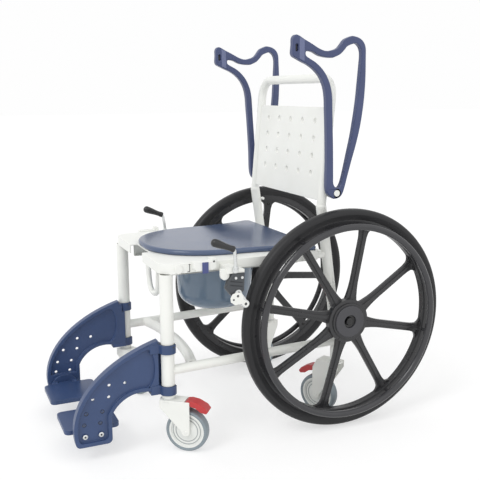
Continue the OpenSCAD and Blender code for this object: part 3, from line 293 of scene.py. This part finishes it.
# Quick-release axles and the screws of the frame: turned and pressed steel, zinc plated.
# The bright skin is mottled, with patches of lower gloss a millimetre or two wide.
zinc, tree, shader, place = new_finish("zinc_plated_steel_drawn", Metallic=1.0)
mottle_mm = 1.5
mottle = add(tree, "ShaderNodeTexNoise", {
    "Vector": place, "Scale": 1 / (mottle_mm * MM), "Detail": 3.0})
tone = add(tree, "ShaderNodeValToRGB", {"Fac": mottle.outputs["Fac"]},
           [(0.3, "#d2d4d4"), (0.7, "#e2e4e3")])
gloss = add(tree, "ShaderNodeMapRange", {
    "Value": mottle.outputs["Fac"], "To Min": 0.2, "To Max": 0.38})
tree.links.new(tone.outputs["Color"], shader.inputs["Base Color"])
tree.links.new(gloss.outputs["Result"], shader.inputs["Roughness"])
for steel in ("wheel_axles", "frame_screws"):
    coat(steel, zinc)


# Drive wheels: a solid polyurethane tyre, dull black, on a one-piece rim of glass-filled
# nylon with a low sheen. A coated push ring stands on its outer side, a round cap closes the
# hub, and a black ring darkens the floor of the cap's recess. Webs round the corners where
# each spoke meets the rim.
tyre_rubber = moulded("polyurethane_tyre_matt", "#262628", "#202022", 0.46, 1.4, 0.05,
                      Specular_IOR_Level=0.36)
rim_nylon = moulded("glass_filled_nylon_black", "#313133", "#2b2b2d", 0.28, 1.1, 0.04)
ring_coat = moulded("coated_push_ring", "#3a3a3d", "#343437", 0.2, 1.8, 0.02)
cap_nylon = moulded("moulded_nylon_hub_cap", "#414145", "#3b3b3f", 0.36, 1.0, 0.03)
button_black = moulded("moulded_button_gloss_black", "#161617", "#101011", 0.14, 1.0, 0.01)
WHEEL_X, AXLE_Y, AXLE_Z = 262.0, 220.0, 300.0
cap_profile = [(17.5, 286.2), (17.5, 293.6), (18.3, 294.6), (19.6, 295.0), (40.2, 295.0),
               (41.8, 294.6), (42.8, 293.4), (43.0, 292.0), (43.0, 286.2), (17.5, 286.2)]
flange_profile = [(42.0, 286.2), (48.9, 286.2), (48.9, 288.6), (48.2, 289.6), (46.8, 290.0),
                  (42.0, 290.0), (42.0, 286.2)]
# A black ring on the floor of the cap's recess, darkening it.
recess_black_ring = [(10.6, 286.2), (17.3, 286.2), (17.3, 288.6), (16.6, 289.2), (11.2, 288.0),
                  (10.6, 287.6), (10.6, 286.2)]
wheel_screw = [(0, 0.3), (4.6, 0.3), (4.6, -1.4), (3.4, -2.4), (1.8, -2.4), (1.6, -1.2), (0, -1.2)]
dish = math.tan(math.radians(3.4))
spoke_count, spoke_half, spoke_face, screw_r = 8, 11.5, 6.0, 243.0
rim_r, into_rim, fillet_r, fillet_steps = 253.0, 4.0, 20.0, 8
web_low, web_high = 0.8, 9.2


def on_spoke(u, v, h, angle):
    """A point u along a spoke, v across it and h out from the wheel's middle plane."""
    c, n = math.cos(angle), math.sin(angle)
    return (WHEEL_X + h, AXLE_Y + u * n + v * c, AXLE_Z - u * c + v * n)


def fillet(hand, angle):
    """The web that rounds one corner between a spoke and the rim."""
    v0 = spoke_half + fillet_r
    u0 = math.sqrt((rim_r - fillet_r) ** 2 - v0 ** 2)
    first, end = math.pi / 2, math.pi - math.atan2(v0, u0)
    bends = [first + (end - first) * k / fillet_steps for k in range(fillet_steps + 1)]
    curve = [(u0 - fillet_r * math.cos(a), v0 - fillet_r * math.sin(a)) for a in bends]
    outer_r = rim_r + into_rim
    outer = [(outer_r * math.cos(b), outer_r * math.sin(b))
             for b in [math.asin(v / rim_r) for u, v in curve]]
    points, faces, rows = [], [], len(curve)
    for line, rise in ((curve, web_low), (outer, web_low), (outer, web_high), (curve, web_high)):
        points += [on_spoke(u, hand * v, spoke_face - dish * u + rise, angle) for u, v in line]
    for one, two in ((0, 1), (1, 2), (2, 3), (3, 0)):
        faces += [(one * rows + k, one * rows + k + 1, two * rows + k + 1, two * rows + k)
                  for k in range(rows - 1)]
    faces += [tuple(q * rows for q in range(4)), tuple(q * rows + rows - 1 for q in range(4))]
    return points, faces


for side, turn in (("left", -13.5), ("right", 40.0)):
    wheel_body = f"{side}_wheel"
    hub = sides[side] @ Matrix.Translation((0, AXLE_Y, AXLE_Z))
    angles = [math.radians(90 + turn + 360 / spoke_count * k) for k in range(spoke_count)]
    coat(f"{side}_tyre", tyre_rubber)
    rounded(f"{side}_rim", rim_nylon, 1.2)
    coat(f"{side}_push_rim", ring_coat)
    built(f"{side}_hub_face", [turned(cap_profile, 72) + (hub,)], wheel_body, cap_nylon,
          [f"{side}_hub_cap"])
    built(f"{side}_hub_flange", [turned(flange_profile, 72) + (hub,)], wheel_body, rim_nylon)
    coat(f"{side}_axle_button", button_black)
    webs = [fillet(hand, a) + (sides[side],) for a in angles for hand in (-1, 1)]
    built(f"{side}_spoke_webs", webs, wheel_body, rim_nylon)
    heads = []
    for a in angles:
        seat = Matrix.Translation(on_spoke(screw_r, 0, spoke_face - dish * screw_r, a))
        heads.append(turned(wheel_screw, 20) + (sides[side] @ seat,))
    heads.append(turned(recess_black_ring, 40) + (hub,))
    built(f"{side}_wheel_screws", heads, wheel_body, button_black)


# Casters: a pressed and coated steel fork, a pale moulded wheel centre with two raised
# rings on each flank, a grey rubber tread bonded on, soft and dull, and a red pedal that
# locks the wheel.
disc_pp = moulded("moulded_polypropylene_caster", "#eceeea", "#e6e8e4", 0.4, 1.0, 0.02)
tread_rubber = moulded("thermoplastic_rubber_grey", "#8b969c", "#838e95", 0.5, 1.2, 0.04)
ring_grey = moulded("moulded_polypropylene_ring_grey", "#a9adae", "#a1a5a6", 0.42, 1.0, 0.02)
pedal_red = moulded("moulded_nylon_red", "#c63a3c", "#b83436", 0.34, 1.0, 0.02)
rolls = {j["name"]: j for j in frame["record"]["behaviour"]["joints"]}
ring_mids, ring_in, ring_out, ring_foot, ring_top = (29.0, 36.5), 8.2, 9.2, 1.1, 1.0
for corner in ("front_left", "front_right", "rear_left", "rear_right"):
    rounded(f"{corner}_fork", powder_coat, 1.2)
    coat(f"{corner}_disc", disc_pp)
    coat(f"{corner}_tread", tread_rubber)
    rounded(f"{corner}_pedal", pedal_red, 1.6)
    roll = rolls[f"{corner}_roll"]
    axis = Vector(roll["axis"])
    flank = Matrix((axis, axis.cross(Vector((0, 0, -1))), (0, 0, 1))).transposed().to_4x4()
    wheel = Matrix.Translation(Vector(roll["pos_m"]) / MM) @ flank
    rings = []
    for hand in (-1, 1):
        for mid in ring_mids:
            foot, top = hand * ring_in, hand * ring_out
            profile = [(mid - ring_foot, foot), (mid - ring_top, top), (mid + ring_top, top),
                       (mid + ring_foot, foot), (mid - ring_foot, foot)]
            rings.append(turned(profile, 48) + (wheel,))
    built(f"{corner}_disc_rings", rings, roll["child"], ring_grey)


# Leg rests: moulded blue polypropylene plates with a soft sheen that swing on the uprights,
# with a raised border and rows of setting holes; dark navy rings of painted shade sit in the
# four lower holes. A footplate is hinged on a half-moon bracket held by two plated screws,
# whose sockets are dark discs of painted shade, and two dark pin ends show on each plate's
# top collar.
leg_blue = moulded("moulded_polypropylene_leg_blue", "#394d76", "#33476d", 0.34, 1.2, 0.03)
# Painted shade: dark navy for the shade inside the four lower setting holes.
painted_shade_navy = moulded("painted_shade_navy_leg_holes", "#18223a", "#141d32", 0.5, 1.0, 0.02)
low_holes = ((-478.2, 96.1), (-438.2, 96.1), (-472.1, 124.7), (-432.1, 124.7))
hole_shade_ring = [(4.1, 199.3), (5.4, 199.3), (5.4, 199.7), (4.1, 199.7), (4.1, 199.3)]
screw_spots = ((-477.5, 66.1), (-437.5, 66.1))
screw_head = [(0, 202.4), (6.6, 202.4), (6.6, 203.6), (5.4, 204.6), (2.9, 204.6), (2.7, 203.2),
              (0, 203.2)]
screw_socket = [(0, 203.1), (2.7, 203.1), (2.5, 203.6), (0, 203.6)]
collar_pin = [(0, 21.4), (2.6, 21.4), (2.6, 22.6), (2.0, 23.0), (0, 23.0)]
collar_at = Matrix.Translation((210.0, -263.0, 275.6))
for side, mirror in sides.items():
    for piece in ("leg_plate", "foot_bracket", "footplate"):
        rounded(f"{side}_{piece}", leg_blue, 1.4)
    leg_body = nodes[f"{side}_leg_plate"]["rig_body"]
    screws = [mirror @ Matrix.Translation((0, y, z)) for y, z in screw_spots]
    built(f"{side}_foot_screws", [turned(screw_head, 24) + (at,) for at in screws],
          nodes[f"{side}_foot_bracket"]["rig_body"], zinc)
    shade_rings = [turned(hole_shade_ring, 24) + (mirror @ Matrix.Translation((0, y, z)),) for y, z in low_holes]
    built(f"{side}_hole_shade_rings", shade_rings, leg_body, painted_shade_navy)
    # Dark discs of painted shade fill the screws' sockets.
    sockets = [turned(screw_socket, 6) + (at,) for at in screws]
    for lean in (153, 27):
        aim = collar_at @ Matrix.Rotation(math.radians(lean), 4, "Z")
        sockets.append(turned(collar_pin, 16) + (mirror @ aim,))
    built(f"{side}_leg_sockets", sockets, leg_body, painted_shade_grey)


# Armrests: one-piece blue polypropylene loops, half glossy, that fold down from beside the
# back on a white pin. A paler band of painted highlight wraps each tip, and a dark web of
# painted shade fills the latch's slot in it.
arm_blue = moulded("moulded_polypropylene_arm_blue", "#434d73", "#3d476b", 0.34, 1.2, 0.03)
# Painted highlight: a paler blue band on both faces of each tip, for a line of light there.
highlight_band_blue = moulded("painted_highlight_band_blue", "#6a7294", "#636b8d", 0.3, 1.2, 0.02)
band = [(82.0, 1033.0), (96.0, 1026.4), (96.0, 975.6), (82.0, 981.6)]
band_faces, band_edge = ((248.6, 249.5), (230.5, 231.4)), 0.4
web_y, web_z, web_r, web_reach, web_steps = 75.5, 1008.0, 3.55, 5.5, 24
web = [(web_y + web_r * math.cos(a),
        web_z + math.copysign(web_reach, math.sin(a)) + web_r * math.sin(a))
       for a in [math.pi * (2 * k + 1) / web_steps for k in range(web_steps)]]
web_in, web_out, web_edge = 238.6, 241.4, 0.3
hinge = Matrix.Translation((0, 197.5, 640.0))
right_lean = hinge @ Matrix.Rotation(math.radians(1.8), 4, "X") @ hinge.inverted()
leans = {"left": Matrix.Identity(4), "right": right_lean}
for side, mirror in sides.items():
    rounded(f"{side}_armrest", arm_blue, 3.0, 3)
    arm_at = leans[side] @ mirror
    arm_body = nodes[f"{side}_armrest"]["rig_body"]
    highlight_bands = [slab(band, low, high, band_edge) + (arm_at,) for low, high in band_faces]
    built(f"{side}_tip_highlight_bands", highlight_bands, arm_body, highlight_band_blue)
    # A dark web of painted shade fills the latch's slot.
    built(f"{side}_latch_slot_shade", [slab(web, web_in, web_out, web_edge) + (arm_at,)], arm_body,
          painted_shade_grey)


# Wheel brakes: a dark nylon housing under the seat edge, a bent lever of plated steel with
# a satin black moulded grip, and a pressed shoe whose roller is pushed on the tyre. A white
# coated plate with three holes covers the shoe; the holes are dark discs of painted shade.
def swept(path, across, wide, thick):
    """Points and faces of a bar of oval section that follows a path in mm."""
    around = 20
    stops = [Vector(q) for q in path]
    points = []
    for k, here in enumerate(stops):
        along = (stops[min(k + 1, len(stops) - 1)] - stops[max(k - 1, 0)]).normalized()
        one = (Vector(across) - along * along.dot(Vector(across))).normalized()
        two = along.cross(one)
        for j in range(around):
            a = 2 * math.pi * j / around
            points.append(here + one * (wide / 2 * math.cos(a)) + two * (thick / 2 * math.sin(a)))
    return points, tube_faces(len(stops), around)


housing_nylon = moulded("moulded_nylon_dark_grey", "#484b4f", "#414448", 0.42, 1.0, 0.03)
grip_black = moulded("moulded_grip_black", "#2c2c2e", "#252527", 0.3, 1.0, 0.03)
rounded("brake_housings", housing_nylon, 1.2)
strap = [(281.5, -105.5, 469.0), (281.6, -105.6, 474.0), (282.2, -106.4, 486.0),
         (283.6, -107.8, 500.0), (285.6, -109.4, 514.0), (286.8, -110.6, 521.0),
         (287.0, -113.4, 525.2), (287.0, -122.0, 528.8), (287.0, -135.0, 534.0)]
strap_wide, strap_thick = 9.0, 6.0
boss = [(0, 277.2), (8.2, 277.2), (8.2, 280.4), (7.4, 281.2), (0, 281.2)]
boss_at = Matrix.Translation((0, -105.3, 470.0))
ferrule = [(4.0, -2.6), (6.2, -2.6), (6.8, -1.8), (6.8, 1.8), (6.2, 2.6), (4.0, 2.6), (4.0, -2.6)]
ferrule_at = Matrix.Translation((281.7, -105.8, 478.0)) @ Matrix.Rotation(math.pi / 2, 4, "Y")
plate = [(-120.5, 390.9), (-121.6, 401.7), (-116.1, 411.0), (-102.6, 415.2), (-91.8, 411.8),
         (-87.4, 402.8), (-87.0, 395.5), (-72.6, 384.6), (-72.0, 379.4), (-76.0, 375.4),
         (-81.0, 375.2), (-92.5, 384.0), (-109.5, 382.6)]
plate_in, plate_out, plate_edge = 284.2, 286.0, 0.6
plate_holes = ((-101.8, 405.2, 3.2), (-113.0, 396.6, 2.6), (-80.3, 382.7, 3.6))
hole_in, hole_lip, hole_out, lip_in = 285.8, 286.2, 286.5, 0.5
for side, mirror in sides.items():
    lever_parts = [swept(strap, (0, 1, 0), strap_wide, strap_thick) + (mirror,),
                   turned(boss) + (mirror @ boss_at,),
                   turned(ferrule, 24) + (mirror @ ferrule_at,)]
    built(f"{side}_lever_strap", lever_parts, nodes[f"{side}_brake_lever"]["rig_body"], zinc,
          [f"{side}_brake_lever"])
    coat(f"{side}_brake_grip", grip_black)
    rounded(f"{side}_brake_shoe", zinc, 0.5)
    shoe_body = nodes[f"{side}_brake_shoe"]["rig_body"]
    built(f"{side}_shoe_plate", [slab(plate, plate_in, plate_out, plate_edge) + (mirror,)],
          shoe_body, powder_coat)
    # Dark discs of painted shade in the plate's three holes.
    dark = []
    for y, z, r in plate_holes:
        profile = [(0, hole_in), (r, hole_in), (r, hole_lip), (r - lip_in, hole_out), (0, hole_out)]
        dark.append(turned(profile, 20) + (mirror @ Matrix.Translation((0, y, z)),))
    built(f"{side}_shoe_hole_shade", dark, shoe_body, painted_shade_grey)


# Pan: blow-moulded translucent polypropylene with a rolled rim, smooth and glossy, that
# lets a little light through. It is slid in from the front by a white moulded handle, a
# round bar bent to a U below a flat tab.
pan_pp = moulded("translucent_polypropylene_pan", "#8094a8", "#768a9f", 0.12, 2.0, 0.02,
                 Transmission_Weight=0.2, IOR=1.52)
coat("pan", pan_pp)
loop_y, loop_wide, loop_thick = -232.0, 15.0, 14.5
half_loop = [(48.5, 445.0), (48.0, 434.0), (46.5, 417.0), (43.0, 397.0), (38.0, 379.0),
             (31.0, 367.6), (21.0, 361.0), (10.5, 358.6), (0.0, 358.0)]
loop = [(x, loop_y, z) for x, z in half_loop]
loop += [(-x, loop_y, z) for x, z in reversed(half_loop[:-1])]
tab = [(-56.0, -236.0), (-53.5, -238.4), (53.5, -238.4), (56.0, -236.0), (56.0, -174.5),
       (53.5, -172.0), (-53.5, -172.0), (-56.0, -174.5)]
tab_low, tab_top, tab_edge = 443.7, 447.1, 1.2
lying = Matrix(((0, 1, 0, 0), (0, 0, 1, 0), (1, 0, 0, 0), (0, 0, 0, 1)))
handle_parts = [swept(loop, (0, 1, 0), loop_wide, loop_thick) + (Matrix.Identity(4),),
                slab(tab, tab_low, tab_top, tab_edge) + (lying,)]
built("pan_handle_loop", handle_parts, nodes["pan_handle"]["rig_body"], white_pp, ["pan_handle"])


# Lid: a thick blue polypropylene lid, moulded with a bull-nosed edge, that lies loose on
# the seat board. Its skin is glossier than the other blue pieces, so that it shows the pale
# room.
def lid_outline(d):
    """The lid's outline, drawn in by d: a round front, a waist, and flared sides to the rear."""
    waist_half, waist_y, flare = 181.0, -56.0, 41.0
    front_reach, rear_end, corner = 206.0, 158.0, 14.0
    front_steps, flank_steps, corner_steps, power = 60, 16, 6, 2 / 2.3
    half, tip, rear_y = waist_half - d, front_reach - d, rear_end - d
    front = []
    for k in range(front_steps + 1):
        a = math.pi * k / front_steps
        c = math.cos(a)
        front.append((half * math.copysign(abs(c) ** power, c),
                      waist_y - tip * abs(math.sin(a)) ** power))
    flank = [(waist_half + flare * s ** 2 - d, waist_y + (rear_y - corner - waist_y) * s)
             for s in [k / flank_steps for k in range(1, flank_steps + 1)]]
    rear = [(flank[-1][0] - corner * (1 - math.cos(a)), rear_y - corner + corner * math.sin(a))
            for a in [math.pi / 2 * k / corner_steps for k in range(1, corner_steps + 1)]]
    edge = flank + rear
    return front + [(-x, y) for x, y in edge] + [(x, y) for x, y in reversed(edge)]


lid_blue = moulded("moulded_polypropylene_lid_blue", "#4d5c7b", "#465571", 0.21, 1.2, 0.015,
                   IOR=1.6)
nose = [(4.2, 487.4), (1.8, 488.2), (0.5, 489.8), (0.0, 492.0), (0.0, 494.4), (0.6, 496.6),
        (1.9, 498.6), (3.8, 500.1), (6.4, 501.0), (10.0, 501.2), (40.0, 501.2)]
points = [(x, y, z) for d, z in nose for x, y in lid_outline(d)]
faces = tube_faces(len(nose), len(lid_outline(0)))
built("seat_lid_moulding", [(points, faces, Matrix.Identity(4))], nodes["seat_lid"]["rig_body"],
      lid_blue, ["seat_lid"])


# Studio: a wide sheet of white paper that keeps the chair's shadow, under soft light from
# all round and two broad suns. What the lens and mirror-like skins see of the paper and
# the room is set apart from what lights the chair.
def seen(tree):
    """One where the ray comes from the lens, a mirror-like skin or a clear one, else zero."""
    path = add(tree, "ShaderNodeLightPath")
    direct = add(tree, "ShaderNodeMath", {
        0: path.outputs["Is Camera Ray"], 1: path.outputs["Is Glossy Ray"]}, operation="MAXIMUM")
    every = add(tree, "ShaderNodeMath", {
        0: direct.outputs[0], 1: path.outputs["Is Transmission Ray"]}, operation="MAXIMUM")
    return every.outputs[0]


half_floor = 30.0
floor_mesh = bpy.data.meshes.new("floor")
floor_mesh.from_pydata([(-half_floor, -half_floor, 0), (half_floor, -half_floor, 0),
                        (half_floor, half_floor, 0), (-half_floor, half_floor, 0)],
                       [], [(0, 1, 2, 3)])
floor = bpy.data.objects.new("floor", floor_mesh)
bpy.context.scene.collection.objects.link(floor)
paper, tree, shader, place = new_finish("white_paper_floor", Roughness=0.9, Specular_IOR_Level=0.0)
shader.inputs["Base Color"].default_value = linear("#f4f4f4")
glow = add(tree, "ShaderNodeEmission", {"Color": linear("#ffffff"), "Strength": 0.56})
shade_level = 0.47
shade = add(tree, "ShaderNodeBsdfDiffuse", {"Color": [shade_level] * 3 + [1.0]})
lit = add(tree, "ShaderNodeAddShader", {0: glow.outputs[0], 1: shade.outputs[0]})
mixed = add(tree, "ShaderNodeMixShader", {0: seen(tree), 1: shader.outputs[0], 2: lit.outputs[0]})
tree.links.new(mixed.outputs[0], tree.nodes["Material Output"].inputs["Surface"])
floor_mesh.materials.append(paper)

world = bpy.data.worlds.new("studio")
bpy.context.scene.world = world
world.use_nodes = True
tree = world.node_tree
tree.nodes.clear()
sky = add(tree, "ShaderNodeBackground", {"Color": linear("#ffffff"), "Strength": 0.83})
backdrop = add(tree, "ShaderNodeBackground", {"Color": linear("#fefefe"), "Strength": 1.0})
mixed = add(tree, "ShaderNodeMixShader", {
    0: seen(tree), 1: sky.outputs[0], 2: backdrop.outputs[0]})
add(tree, "ShaderNodeOutputWorld", {"Surface": mixed.outputs[0]})

lamps = (
    ("key", (1.0, -2.2, 2.6), 0.85, 24),
    ("fill", (2.4, 1.4, 1.6), 0.3, 70),
)
for name, spot, strength, spread in lamps:
    lamp = bpy.data.lights.new(name, "SUN")
    lamp.energy = strength
    lamp.angle = math.radians(spread)
    holder = bpy.data.objects.new(name, lamp)
    bpy.context.scene.collection.objects.link(holder)
    holder.rotation_euler = (-Vector(spot)).to_track_quat("-Z", "Y").to_euler()


# Camera: a lens a little longer than normal at the photograph's angle, above the seat.
turn, rise, roll = 1.1605, 0.1959, -0.0034
stand = Vector((1.91296, -0.80358, 0.89862))
right = Vector((math.cos(turn), math.sin(turn), 0))
back = Vector((math.sin(turn) * math.cos(rise), -math.cos(turn) * math.cos(rise), math.sin(rise)))
up = back.cross(right)
rolled_right = math.cos(roll) * right + math.sin(roll) * up
rolled_up = math.cos(roll) * up - math.sin(roll) * right
facing = Matrix((rolled_right, rolled_up, back)).transposed().to_4x4()
lens = bpy.data.cameras.new("camera")
lens.sensor_width = 36.0
lens.lens = 55.555
camera = bpy.data.objects.new("camera", lens)
bpy.context.scene.collection.objects.link(camera)
camera.matrix_world = Matrix.Translation(stand) @ facing
bpy.context.scene.camera = camera
bpy.context.scene.view_settings.view_transform = "Standard"
